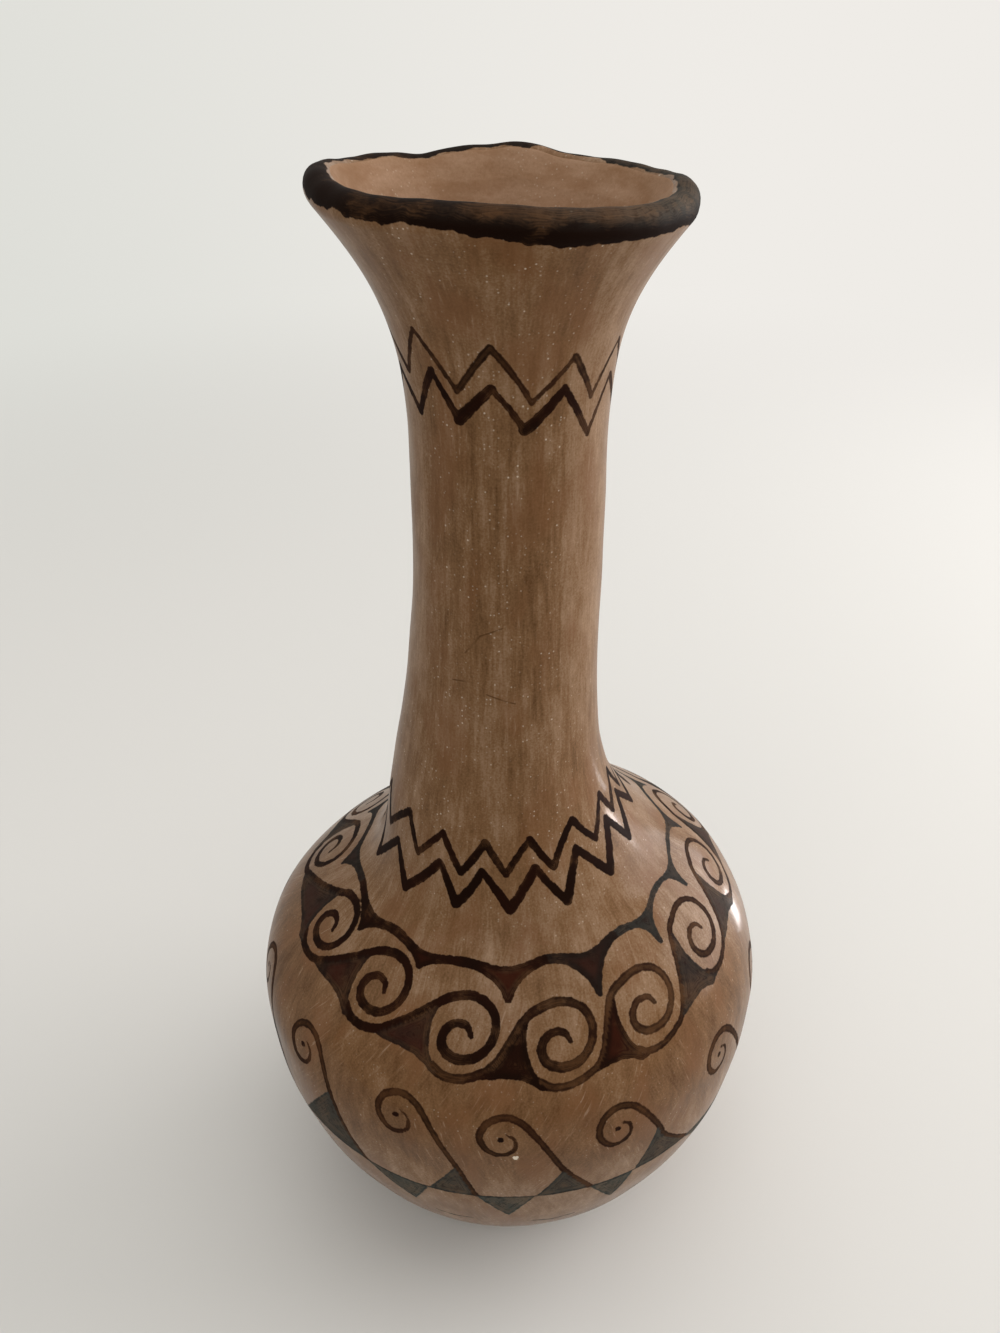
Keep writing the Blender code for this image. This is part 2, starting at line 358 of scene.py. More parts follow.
zigzags = {
    "neckUpper": {
        "front": ((-58.7, 297.7), (-43.2, 309), (-25.6, 296.1), (-6.6, 306.9), (12, 294.5), (33.5, 304.4),
                  (48.1, 293.7)),
        "behind": 13, "rise": (295, 305.5), "load": 0.64,
        "halfWidths": ((0.75, 0.65), (0.72, 0.68), (0.85, 1.0), (1.0, 0.75), (0.7, 0.7), (1.0, 0.8),
                       (0.66, 0.6)),
    },
    "neckLower": {
        "front": ((-54, 288.9), (-39.3, 299.8), (-26.2, 289.7), (-7.8, 297.5), (8.8, 288.2), (29.3, 297),
                  (47.1, 285)),
        "behind": 13, "rise": (287, 297), "load": 0.9,
        "halfWidths": ((0.9, 1.15), (0.8, 1.15), (1.5, 1.15), (0.8, 0.9), (1.45, 1.15), (1.0, 0.95),
                       (0.72, 0.62)),
    },
    "shoulderUpper": {
        "front": ((-71.8, 169), (-51.5, 179.2), (-44.5, 169.2), (-28.5, 178.4), (-20.5, 168.4), (-6.5, 178),
                  (0.5, 168.8), (15.2, 178), (22.8, 168.8), (39.2, 179.6), (48.5, 170.4), (63.2, 180),
                  (68.8, 172.4), (83.2, 180.8), (91, 171)),
        "behind": 17, "rise": (168.5, 179), "lean": 0.3, "load": 0.9,
        "halfWidths": ((1.05, 1.15), (1.15, 1.05), (1.0, 0.95), (1.15, 1.2)),
    },
    "shoulderLower": {
        "front": ((-77, 156), (-60.5, 167.6), (-49.2, 157.6), (-30.5, 169.6), (-23.5, 159.2), (-9.8, 169.6),
                  (-0.5, 159.2), (14.5, 169.6), (23.2, 158.8), (36.5, 171.2), (46.8, 160.4), (60.5, 172.8),
                  (66.8, 163.2), (80.8, 173.2), (91.2, 164.5)),
        "behind": 17, "rise": (158.5, 170), "lean": 0.25, "load": 1.0,
        "halfWidths": ((1.45, 1.15), (1.15, 1.5), (1.4, 1.25), (1.1, 1.4)),
    },
}


zigzagHand = {
    "bow": 0.5,                 # no brush line is quite straight
    "bowTurn": 2.3,             # and no two bow alike
    "points": 7,
    "load": (0.2, 0.4),         # the least, and what width adds
}


def paintZigzags(brush):
    share = np.linspace(0, 1, zigzagHand["points"])
    least, byWidth = zigzagHand["load"]
    for line in zigzags.values():
        corners = allRound(line["front"], line["behind"], line["rise"], line.get("lean", 0.0))
        widths = line["halfWidths"]
        for i, corner in enumerate(corners):
            after = corners[(i + 1) % len(corners)]
            step = (after[0] - corner[0]) % 360
            bow = zigzagHand["bow"] * math.cos(zigzagHand["bowTurn"] * i) * np.sin(math.pi * share)
            height = corner[1] + (after[1] - corner[1]) * share + bow
            width = widths[i % len(widths)]
            load = line["load"] * (least + byWidth * sum(width))
            brush.stroke(np.column_stack((corner[0] + step * share, height)), width, load)


lipBand = {
    "lowEdge": ((-180, 335.5), (-63, 336.4), (-30, 336), (-12, 335.4), (-3, 334.4), (6, 333.2), (25, 333.3),
                (36, 333.6), (42, 334.6), (62, 334.4), (110, 333.6), (150, 334.4)),
    "lowWaves": ((13, 0.25, 0.6), (29, 0.22, 2.0), (47, 0.16, 4.4), (83, 0.12, 1.1)),
    # inside the mouth, and worn off at the back on the right
    "topEdge": ((-150, 344.2), (-90, 343.7), (0, 342.7), (90, 343.5), (118, 344.4), (138, 344.1),
                (145, 342.4), (166, 342.4), (170, 344.4)),
    "topWaves": ((5, 0.3, 1.0), (17, 0.25, 0.3), (31, 0.2, 2.2)),
    "thick": 335.7,             # the paint ran down and is thicker below this
    "thinning": 3.4,
    "load": 1.2,
    "thin": ((-180, 0.9, 0.1), (-60, 1.2, 0.0), (-25, 0.88, 0.06), (0, 0.69, 0.12), (30, 0.60, 0.26),
             (60, 0.56, 0.6), (110, 0.7, 0.4)),         # turn, load and grey above it; the grey is painted sheen from the right
}


def lipPaint(turn, run):
    b = lipBand
    edges = []
    for edge, waves in (("lowEdge", "lowWaves"), ("topEdge", "topWaves")):
        height = np.interp(np.degrees(turn), *np.array(b[edge]).T, period=360)
        edges.append(height + sum(size * np.sin(count * turn + phase) for count, size, phase in b[waves]))
    thin = smoothStep((run - b["thick"]) / b["thinning"])
    turns, loads, washAndSheenShares = np.array(b["thin"]).T
    load, washAndSheen = (np.interp(np.degrees(turn), turns, values, period=360) for values in (loads, washAndSheenShares))
    depth = np.minimum(run - edges[0], edges[1] - run)
    return depth, b["load"] + (load - b["load"]) * thin, washAndSheen * thin


def markDepth(mark, turn, run, radius):
    # how deep each point lies inside one brush mark, in millimetres
    kind, path, half = mark[:3]
    middle = (path[:, 0].min() + path[:, 0].max()) / 2
    away = np.radians((turn - middle + 180) % 360 - 180)
    x = np.radians(path[:, 0] - middle)[None, :] * radius[:, None] - (away * radius)[:, None]
    y = path[:, 1][None, :] - run[:, None]
    if kind == "fill":
        xEnd, yEnd = np.roll(x, -1, axis=1), np.roll(y, -1, axis=1)
    else:
        x, xEnd, y, yEnd = x[:, :-1], x[:, 1:], y[:, :-1], y[:, 1:]
    dx, dy = xEnd - x, yEnd - y
    share = np.clip(-(x * dx + y * dy) / np.maximum(dx * dx + dy * dy, tiny), 0, 1)
    distance = np.hypot(x + share * dx, y + share * dy)
    if kind == "stroke":
        return (half[:-1] + share * (half[1:] - half[:-1]) - distance).max(axis=1)
    crossing = (y > 0) != (yEnd > 0)
    at = x - y * dx / np.where(np.abs(dy) < tiny, tiny, dy)
    inside = (crossing & (at > 0)).sum(axis=1) % 2 == 1
    return np.where(inside, 1, -1) * distance.min(axis=1)


brushwork = {
    "bareDepth": -9.0,          # stands for far from every mark
    "margin": 6.0,              # millimetres round a mark in which its depth is worked out
    "leastRadius": 1.0,
}


def layPaint(brush, turn, run, radius):
    # turn in degrees, run and radius in millimetres
    depth = np.full(len(turn), brushwork["bareDepth"])
    load = np.ones(len(turn))
    washAndSheen = np.zeros(len(turn))
    margin = brushwork["margin"]
    for mark in brush.marks:
        path = mark[1]
        middle = (path[:, 0].min() + path[:, 0].max()) / 2
        spread = (path[:, 0].max() - path[:, 0].min()) / 2
        away = np.abs((turn - middle + 180) % 360 - 180)
        near = (away < spread + np.degrees(margin / radius)) & (run > path[:, 1].min() - margin)
        near &= run < path[:, 1].max() + margin
        if not near.any():
            continue
        found = markDepth(mark, turn[near], run[near], radius[near])
        deeper = found > depth[near]            # the deepest mark is the one that shows
        spots = np.flatnonzero(near)[deeper]
        depth[spots] = found[deeper]
        load[spots] = mark[3]
        washAndSheen[spots] = mark[4]
    return depth, load, washAndSheen


brush = Brush()
paintScroll(brush)
paintHooks(brush)
paintZigzags(brush)
print("motifs drawn:", len(brush.marks), "brush marks")

# The courses
turned = {
    "sides": 640,
    "rowStep": 0.0008,          # rows of the outer wall
    "closeStep": 0.00045,       # and of the courses over the neck, which have the thinnest lines
    "innerStep": 0.003,
    "leastRows": 3,
    "innerRun": -1.0,           # stands for no place on the outer wall
    "roundSteps": 9,            # rows of the rounded foot edge and floor edge
    "diskRings": 5,             # rings of the flat foot and floor
    "beadSteps": 17,            # rows of the rounded lip
    "lipRows": 12,              # and of the wall inside it
    "seamRow": 0.0002,          # a close row beside each seam keeps the shading even over it
    "smoothAngle": 32,
    "merge": 1e-6,
}


def outerRows(bottom, top):
    step = turned["closeStep" if bottom >= wall["marks"]["neck"] else "rowStep"]
    rows = np.linspace(bottom, top, round((top - bottom) / step) + 1)
    return np.sort(np.append(rows, (bottom + turned["seamRow"], top - turned["seamRow"])))


def innerRows(bottom, top):
    return np.linspace(bottom, top, max(turned["leastRows"], round((top - bottom) / turned["innerStep"]) + 1))


def courseSection(bottom, top):
    lap = form["seamLap"]
    outer = outerRows(bottom, top)
    inner = innerRows(top + lap, bottom + lap)
    section = np.vstack((along("outer", outer), along("inner", inner)))
    return section, np.append(outer, np.full(len(inner), turned["innerRun"])), len(outer)


def dishSection(top):
    f = form
    corner = np.array((f["footRadius"], 0.0))
    start, end = corner - (f["footRound"], 0.0), along("outer", [f["footRound"]])[0]
    t = np.linspace(0, 1, turned["roundSteps"])[:, None]
    footEdge = (1 - t) ** 2 * start + 2 * t * (1 - t) * corner + t ** 2 * end
    outer = outerRows(f["footRound"], top)[1:]
    wallTop = along("inner", [top + f["seamLap"]])
    floorCorner = wallTop[0] * (1, 0) + (-f["floorRound"] / 2, f["floor"])
    floorEdge = wallTop[0] * (1, 0) + (-f["floorRound"], f["floor"])
    floor = (1 - t) ** 2 * wallTop[0] + 2 * t * (1 - t) * floorCorner + t ** 2 * floorEdge
    rings = turned["diskRings"]
    under = np.column_stack((np.linspace(0, start[0], rings + 1)[:-1], np.zeros(rings)))
    inside = np.column_stack((np.linspace(floorEdge[0], 0, rings)[1:], np.full(rings - 1, f["floor"])))
    section = np.vstack((under, footEdge, along("outer", outer), floor, inside))
    below = len(under) + len(footEdge)
    run = np.concatenate((np.zeros(below), outer, np.full(len(floor) + len(inside), turned["innerRun"])))
    return section, run, below + len(outer)


def lipSection(bottom):
    f = form
    outer = outerRows(bottom, wall["marks"]["lip"])
    bead = np.linspace(-f["flareLean"], math.pi - f["flareLean"], turned["beadSteps"])[1:-1]
    around = wall["lipCentre"] + f["lip"] / 2 * np.column_stack((np.cos(bead), np.sin(bead)))
    inner = np.linspace(wall["marks"]["lip"], bottom + f["seamLap"], turned["lipRows"])
    section = np.vstack((along("outer", outer), around, along("inner", inner)))
    steps = np.linalg.norm(np.diff(section, axis=0), axis=1)
    return section, bottom + np.concatenate(((0.0,), np.cumsum(steps))), len(section) - len(inner)


def turnPiece(name, section):
    bpy.ops.mesh.primitive_circle_add(vertices=len(section), radius=form["bellyRadius"])
    piece = bpy.context.object
    piece.name = name
    piece.data.name = name
    for point, (radius, height) in zip(piece.data.vertices, section):
        point.co = (radius, 0.0, height)
    wheel = piece.modifiers.new("wheel", "SCREW")
    wheel.axis = "Z"
    wheel.steps = wheel.render_steps = turned["sides"]
    wheel.use_merge_vertices = True
    wheel.merge_threshold = turned["merge"]
    bpy.ops.object.modifier_apply(modifier=wheel.name)
    bpy.ops.object.mode_set(mode="EDIT")
    bpy.ops.mesh.select_all(action="SELECT")
    bpy.ops.mesh.remove_doubles(threshold=turned["merge"])
    bpy.ops.mesh.delete_loose(use_verts=True, use_edges=True, use_faces=False)
    bpy.ops.mesh.select_all(action="SELECT")
    bpy.ops.mesh.normals_make_consistent(inside=False)
    bpy.ops.object.mode_set(mode="OBJECT")
    return piece


def readAll(items, key, each=1, kind=np.int32):
    values = np.empty(len(items) * each, kind)
    items.foreach_get(key, values)
    return values


def setAttribute(piece, name, values):
    attribute = piece.data.attributes.new(name, "FLOAT", "POINT")
    attribute.data.foreach_set("value", np.asarray(values, np.float32))


def finishPiece(piece, node, section, run, outerCount):
    mesh = piece.data
    points = readAll(mesh.vertices, "co", 3, float).reshape(-1, 3)
    radius = np.hypot(points[:, 0], points[:, 1])
    row = np.abs(radius[:, None] - section[:, 0]) + np.abs(points[:, 2:] - section[:, 1])
    row = row.argmin(axis=1)
    turn = np.degrees(np.arctan2(points[:, 0], -points[:, 1]))
    if node == "lip_coil":
        depth, load, washAndSheen = lipPaint(np.radians(turn), run[row] / mm)
    else:
        girth = np.maximum(radius / mm, brushwork["leastRadius"])
        depth, load, washAndSheen = layPaint(brush, turn, run[row] / mm, girth)
        depth = np.where(row < outerCount, depth, brushwork["bareDepth"])
    # the grey share is thin paint with a painted sheen
    setAttribute(piece, "paintDepth", depth)
    setAttribute(piece, "paintLoad", load)
    setAttribute(piece, "paintGrey", washAndSheen)
    mesh.vertices.foreach_set("co", handShaped(points).astype(np.float32).ravel())
    mesh.update()
    mesh.materials.append(burnishedClay)
    mesh.materials.append(bareClay)
    corners, starts = readAll(mesh.loops, "vertex_index"), readAll(mesh.polygons, "loop_start")
    isInner = np.maximum.reduceat(row[corners], starts) >= outerCount
    mesh.polygons.foreach_set("material_index", isInner.astype(np.int32))
    bpy.ops.object.shade_smooth_by_angle(angle=math.radians(turned["smoothAngle"]))
    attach(piece, "root")
    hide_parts(node)
    piece.select_set(False)


# Shader wiring
def plug(target, sockets):
    for key, value in sockets.items():
        if isinstance(value, Wire):
            value.tree.links.new(value.socket, target.inputs[key])
        else:
            target.inputs[key].default_value = value


class Wire:
    def __init__(self, tree, socket):
        self.tree = tree
        self.socket = socket

    def node(self, kind, settings=None, sockets=None, out=0):
        made = self.tree.nodes.new(kind)
        for key, value in (settings or {}).items():
            if key == "stops":
                ramp = made.color_ramp.elements
                while len(ramp) < len(value):
                    ramp.new(1.0)
                for stop, (place, colour) in zip(ramp, value):
                    stop.position = place
                    stop.color = (*colour, 1.0)
            else:
                setattr(made, key, value)
        plug(made, sockets or {})
        return Wire(self.tree, made.outputs[out])

    def maths(self, operation, first, second):
        return self.node("ShaderNodeMath", {"operation": operation}, {0: first, 1: second})

    def __add__(self, other):
        return self.maths("ADD", self, other)

    __radd__ = __add__

    def __sub__(self, other):
        return self.maths("SUBTRACT", self, other)

    def __rsub__(self, other):
        return self.maths("SUBTRACT", other, self)

    def __mul__(self, other):
        return self.maths("MULTIPLY", self, other)

    __rmul__ = __mul__

    def __truediv__(self, other):
        return self.maths("DIVIDE", self, other)

    def vector(self, operation, other=(0, 0, 0), out=0):
        return self.node("ShaderNodeVectorMath", {"operation": operation}, {0: self, 1: other}, out)

    def scaled(self, by):
        return self.vector("MULTIPLY", by)

    def axis(self, i):
        return self.node("ShaderNodeSeparateXYZ", {}, {0: self}, i)

    def joined(self, x, y, z):
        return self.node("ShaderNodeCombineXYZ", {}, {0: x, 1: y, 2: z})

    def step(self, low, high):
        return self.node("ShaderNodeMapRange", {"interpolation_type": "SMOOTHSTEP"},
                         {"Value": self, "From Min": low, "From Max": high})

    def noise(self, scale, detail=2.0, roughness=0.5):
        return self.node("ShaderNodeTexNoise", {}, {"Vector": self, "Scale": scale, "Detail": detail,
                                                    "Roughness": roughness})

    def swing(self, size):
        # a noise as a shift either way
        return (self - 0.5) * size

    def ramp(self, places, colours):
        return self.node("ShaderNodeValToRGB", {"stops": tuple(zip(places, colours))}, {0: self})

    def blend(self, other, share):
        # self where share is 0, other where it is 1; a colour mix has its colours in sockets 6 and 7
        second = other if isinstance(other, Wire) else (*other, 1.0)
        return self.node("ShaderNodeMix", {"data_type": "RGBA"}, {0: share, 6: self, 7: second}, 2)


def newFinish(name):
    material = bpy.data.materials.new(name)
    material.use_nodes = True
    shader = material.node_tree.nodes["Principled BSDF"]
    spot = Wire(material.node_tree, None).node("ShaderNodeTexCoord", out="Object")
    return material, shader, spot


# In the finishes a noise is its scale, detail and roughness, and a fade is where it starts and ends
paint = {
    "black": (0.0088, 0.0031, 0.0013),
    "brown": (0.054, 0.0225, 0.0078),
    "red": (0.036, 0.0078, 0.0030),
    # grey of thin paint with a painted sheen on it
    "washAndSheen": (0.050, 0.056, 0.049),
    "roughness": 0.66,
    "crumbs": (620.0, 3.0, 0.6),
    "pools": (130.0, 3.0, 0.55),
    "bristles": (1.0, 3.0, 0.6),
    "bristleStretch": (3.2, 6.0),   # by a mark's depth, and by its pools
    "warmth": (72.0, 2.0),
    "edge": (-0.08, 0.22),      # millimetres over which a mark's edge covers
    "ragged": 0.95,             # millimetres by which crumbs move that edge
    "pooling": (0.2, 1.6),      # share of the load that lies everywhere, and more in pools
    "crumbTone": 0.4,
    "fullLoad": 0.9,
    "rim": (0.45, 1.15),        # thin paint dries darker at its edge
    "rimTone": 0.36,
    "thinCover": 0.86,          # how far the thinnest paint hides the clay
    "shade": (0.32, 1.06),      # from thin to pooled
    "flush": (0.25, 0.17, 0.55),    # red: least, at the edge of a mark, and more in its middle
    "flushFade": (0.9, 2.4),
    "warmFade": (0.40, 0.62),
    "lipFade": (0.284, 0.296),  # the lip has no red
    # the grey: thin paint with a painted sheen
    "washAndSheenCover": 0.62,
    "washAndSheenFade": (0.2, 0.75),
    "washAndSheenCrumbs": 0.9,
    "washAndSheenBristles": (0.48, 0.72),
    "washAndSheenDark": 0.5,
}


def paintOver(spot, colour, rough):
    # brush marks over a clay: thin paint is brown, pooled paint is black, and grey is thin paint with a
    # painted sheen
    p = paint
    depth, load, washAndSheen = (spot.node("ShaderNodeAttribute", {"attribute_name": name}, {}, "Fac")
                         for name in ("paintDepth", "paintLoad", "paintGrey"))
    crumb, pooled, warm = (spot.noise(*p[kind]) for kind in ("crumbs", "pools", "warmth"))
    cover = (depth + crumb.swing(p["ragged"])).step(*p["edge"])
    byDepth, byPool = p["bristleStretch"]
    bristle = spot.joined(depth * byDepth, pooled * byPool, load).noise(*p["bristles"])
    everywhere, inPools = p["pooling"]
    thick = load * (everywhere + pooled * inPools) + (bristle - 0.5) + crumb.swing(p["crumbTone"])
    thick = thick + (p["fullLoad"] - load) * p["rimTone"] * (1 - depth.step(*p["rim"]))
    ink = colour.blend(p["brown"], p["thinCover"]).blend(p["black"], thick.step(*p["shade"]))
    least, atEdge, inMiddle = p["flush"]
    flush = (least + warm.step(*p["warmFade"])) * (atEdge + inMiddle * depth.step(*p["flushFade"]))
    ink = ink.blend(p["red"], flush * (1 - spot.axis(2).step(*p["lipFade"])))
    # painted sheen: the grey of thin paint seen at a slant
    washAndSheenColour = colour.blend(p["washAndSheen"], p["washAndSheenCover"] + (1 - p["washAndSheenCover"]) * thick.step(*p["washAndSheenFade"]))
    dark = (bristle + crumb.swing(p["washAndSheenCrumbs"])).step(*p["washAndSheenBristles"])
    washAndSheenColour = washAndSheenColour.blend(p["black"], dark * p["washAndSheenDark"])
    painted = colour.blend(ink.blend(washAndSheenColour, washAndSheen), cover)
    return painted, rough + (p["roughness"] - rough) * cover, cover


clay = {
    "dark": (0.086, 0.040, 0.0150),
    "middle": (0.172, 0.090, 0.0405),
    "pale": (0.292, 0.186, 0.113),
    "tones": (0.15, 0.5, 0.9),  # of dark, middle and pale
    "red": (0.160, 0.071, 0.029),
    "scratch": (0.350, 0.240, 0.160),
    "mica": (0.66, 0.57, 0.45),
    "roughness": 0.42,
    "streakRough": 0.25,
    "grainRough": 0.12,
    "sockets": {"Specular IOR Level": 0.03, "Coat Roughness": 0.17, "Coat IOR": 1.25},
    "coat": 0.52,               # the burnish
    "coatHidden": 0.97,         # share of it that paint hides
    "neckDull": 0.45,           # share of it that the neck lacks
    "streak": {"neck": (0.0015, 0.045), "belly": (0.0013, 0.12)},   # width, and height scale
    "band": {"neck": (0.0034, 0.15), "belly": (0.0060, 0.42)},
    "stroke": (0.0008, 0.13),   # short burnishing strokes
    "streakNoise": (4.0, 0.6),
    "lean": -9.0,               # radians per metre that strokes lean off upright
    "otherLean": 4.5,
    "leanFade": (0.44, 0.56),   # from the one lean to the other
    "leanPatch": 0.4,
    "clouds": (38.0, 3.0, 0.55),
    "patches": (90.0, 2.0),
    "patchHeight": 0.45,
    "smudges": (190.0, 3.0, 0.55),
    "smudgeHeight": 0.6,
    "grains": (1900.0, 2.0),
    "neckFade": (0.118, 0.152),
    "shoulderFade": (0.098, 0.116),
    "bellyFade": (0.066, 0.080),
    "usualTone": 0.5,
    "neckTone": 0.02,
    "shoulderPaintedLight": 0.09,       # painted top light: the shoulder, which faces up, is paler; the belly is darker
    "bellyTone": -0.12,
    "lowTone": 0.10,            # below the belly
    "bandTone": 0.7,
    "cloudTone": 0.45,
    "streakTone": 0.28,
    "neckStreakTone": 0.26,
    "grainTone": 0.5,
    "strokeTone": 0.45,
    "smudgeTone": 0.5,
    "dripTone": -0.13,          # dark runs under the lip
    "dripFade": (0.268, 0.294),
    "dripStreaks": (0.48, 0.66),
    "lightStrips": ((32, 78), (-100, -52), (112, 150), (-168, -128)),    # degrees of the neck painted paler and smoother, as painted light like that down its right side
    "stripEdges": (0.02, 0.1),  # radians, at the start and the end of each
    "stripWobble": 0.08,
    "stripFade": (0.165, 0.200),
    "lightStripTone": 0.16,
    "stripCalm": 0.6,           # share of the bands that it lacks
    "stripStreakTone": -0.25,
    "redFade": (0.48, 0.68),
    "redShare": 0.55,
    "bellyRed": 0.14,
    "strokeFade": (0.60, 0.74),     # the palest strokes show as fine scratches
    "strokePatch": (0.35, 0.6),
    "strokeShare": 0.5,
    "neckStroke": -0.2,
    "micaScale": 980.0,
    "micaSize": (0.10, 0.30),
    "micaChance": (0.62, 0.96),
    "micaMix": 0.6,
    "micaPlaces": (0.47, 0.72),
    "micaShare": 0.24,
    "neckMica": 0.4,
    "stripMica": -0.8,
    "micaShine": 0.1,
    "scratches": (              # on the neck: degrees from the front, and height, of both ends
        ((-15.7, 0.2082), (-3.3, 0.2106)), ((-24.5, 0.2030), (-15.7, 0.2082)),
        ((-11.6, 0.1922), (4.3, 0.1898)), ((-44.5, 0.2254), (-40.7, 0.2301)),
        ((-32.1, 0.1946), (-24.5, 0.1950)),
    ),
    "scratchEdge": (0.00012, 0.00030),
    "scratchGaps": (0.35, 0.5),
    "scratchShare": 0.85,
    # a painted glint: a pale spot on the front of the belly
    "glintSpotAt": (0.0026, -0.0762, 0.0818),
    "glintSpotSize": 0.0009,
    "glintSpotEdge": (0.7, 1.0),
    "glintSpotRagged": 1.4,
    "relief": (0.4, 0.3, 0.12, 0.15),       # of streaks, strokes, grain and paint
    "bump": {"Strength": 0.3, "Distance": 0.0003},
}


def scratchLine(unrolled, ends):
    # 1 on a thin line between two places of the unrolled neck
    start, end = (np.array((math.radians(turn) * form["neckRadius"], height, 0.0)) for turn, height in ends)
    way = end - start
    offset = unrolled.vector("SUBTRACT", tuple(start))
    share = offset.vector("DOT_PRODUCT", tuple(way / (way @ way)), "Value")
    share = share.node("ShaderNodeClamp", {}, {0: share})
    foot = share.node("ShaderNodeVectorMath", {"operation": "SCALE"}, {0: tuple(way), "Scale": share})
    return 1 - offset.vector("DISTANCE", foot, "Value").step(*clay["scratchEdge"])


def makeBurnishedClay():
    c = clay
    material, shader, spot = newFinish("burnishedClay")
    x, y, z = (spot.axis(i) for i in range(3))
    ring = spot.joined(x, y, 0.0).vector("NORMALIZE")
    up = spot.joined(0.0, 0.0, z)
    angle = x.maths("ARCTAN2", x, 0 - y)

    def streaks(radius, width, height, lean=0.0):
        swung = ring.node("ShaderNodeVectorRotate", {"rotation_type": "Z_AXIS"},
                          {"Vector": ring, "Angle": z * lean})
        place = swung.scaled((radius, radius, radius)).vector("ADD", up.scaled((1, 1, height)))
        return place.noise(1 / width, *c["streakNoise"])

    onNeck = z.step(*c["neckFade"])
    onShoulder = z.step(*c["shoulderFade"])
    aboveBowl = z.step(*c["bellyFade"])
    onBelly = aboveBowl * (1 - onShoulder)
    fine, broad = (streaks(form["neckRadius"], *c[kind]["neck"]) * onNeck
                   + streaks(form["bellyRadius"], *c[kind]["belly"]) * (1 - onNeck)
                   for kind in ("streak", "band"))
    cloud, grain = (spot.noise(*c[kind]) for kind in ("clouds", "grains"))
    patch = spot.scaled((1, 1, c["patchHeight"])).noise(*c["patches"])
    smudge = spot.scaled((1, 1, c["smudgeHeight"])).noise(*c["smudges"])
    side = (cloud + patch.swing(c["leanPatch"])).step(*c["leanFade"])
    leant = streaks(form["bellyRadius"], *c["stroke"], c["lean"]) * side
    leant = leant + streaks(form["bellyRadius"], *c["stroke"], c["otherLean"]) * (1 - side)
    stroke = leant * (1 - onNeck) + streaks(form["neckRadius"], *c["stroke"]) * onNeck
    wobbly = angle + broad.swing(c["stripWobble"])

    def past(degrees, reach):
        return wobbly.step(math.radians(degrees) - reach, math.radians(degrees) + reach)

    sharp, soft = c["stripEdges"]
    # painted light: the neck is paler and calmer in these strips
    lightStrip = sum(past(start, sharp) * (1 - past(end, soft)) for start, end in c["lightStrips"])
    lightStrip = lightStrip * z.step(*c["stripFade"])

    # the shoulder's tone here is painted light from above
    tone = c["usualTone"] + c["shoulderPaintedLight"] * onShoulder * (1 - onNeck) + c["bellyTone"] * onBelly
    tone = tone + c["lowTone"] * (1 - aboveBowl) + c["neckTone"] * onNeck + c["lightStripTone"] * lightStrip
    tone = tone + c["dripTone"] * z.step(*c["dripFade"]) * fine.step(*c["dripStreaks"])
    tone = tone + (broad.swing(c["bandTone"]) + cloud.swing(c["cloudTone"])) * (1 - c["stripCalm"] * lightStrip)
    tone = tone + fine.swing(c["streakTone"] + c["neckStreakTone"] * onNeck + c["stripStreakTone"] * lightStrip)
    tone = tone + grain.swing(c["grainTone"]) + stroke.swing(c["strokeTone"]) + smudge.swing(c["smudgeTone"])
    colour = tone.ramp(c["tones"], (c["dark"], c["middle"], c["pale"]))
    colour = colour.blend(c["red"], patch.step(*c["redFade"]) * c["redShare"] + c["bellyRed"] * onBelly)
    palest = stroke.step(*c["strokeFade"]) * patch.step(*c["strokePatch"])
    colour = colour.blend(c["scratch"], palest * (c["strokeShare"] + c["neckStroke"] * onNeck))

    cell, pick = (spot.node("ShaderNodeTexVoronoi", {}, {"Vector": spot, "Scale": c["micaScale"]}, out)
                  for out in ("Distance", "Color"))
    chance = pick.node("ShaderNodeSeparateColor", {}, {0: pick}, "Red").step(*c["micaChance"])
    mica = (1 - cell.step(*c["micaSize"])) * chance * ((smudge + broad) * c["micaMix"]).step(*c["micaPlaces"])
    share = (c["micaShare"] + c["neckMica"] * onNeck) * (1 + c["stripMica"] * lightStrip)
    colour = colour.blend(c["mica"], mica * share)
    unrolled = spot.joined(angle * form["neckRadius"], z, 0.0)
    broken = smudge.step(*c["scratchGaps"]) * c["scratchShare"]
    for ends in c["scratches"]:
        colour = colour.blend(c["dark"], scratchLine(unrolled, ends) * broken)
    # a painted glint in the mica colour, on the front of the belly
    fromGlintSpot = spot.vector("DISTANCE", c["glintSpotAt"], "Value") / c["glintSpotSize"]
    colour = colour.blend(c["mica"], 1 - (fromGlintSpot + grain.swing(c["glintSpotRagged"])).step(*c["glintSpotEdge"]))

    rough = c["roughness"] + fine.swing(c["streakRough"]) + grain.swing(c["grainRough"])
    colour, rough, cover = paintOver(spot, colour, rough - mica * c["micaShine"])
    coat = c["coat"] * (1 - cover * c["coatHidden"]) * (1 - c["neckDull"] * onNeck)
    height = sum(layer * rise for layer, rise in zip((fine, stroke, grain, cover), c["relief"]))
    bump = height.node("ShaderNodeBump", {}, {"Height": height, **c["bump"]})
    plug(shader, {"Base Color": colour, "Roughness": rough, "Coat Weight": coat, "Normal": bump})
    plug(shader, c["sockets"])
    return material


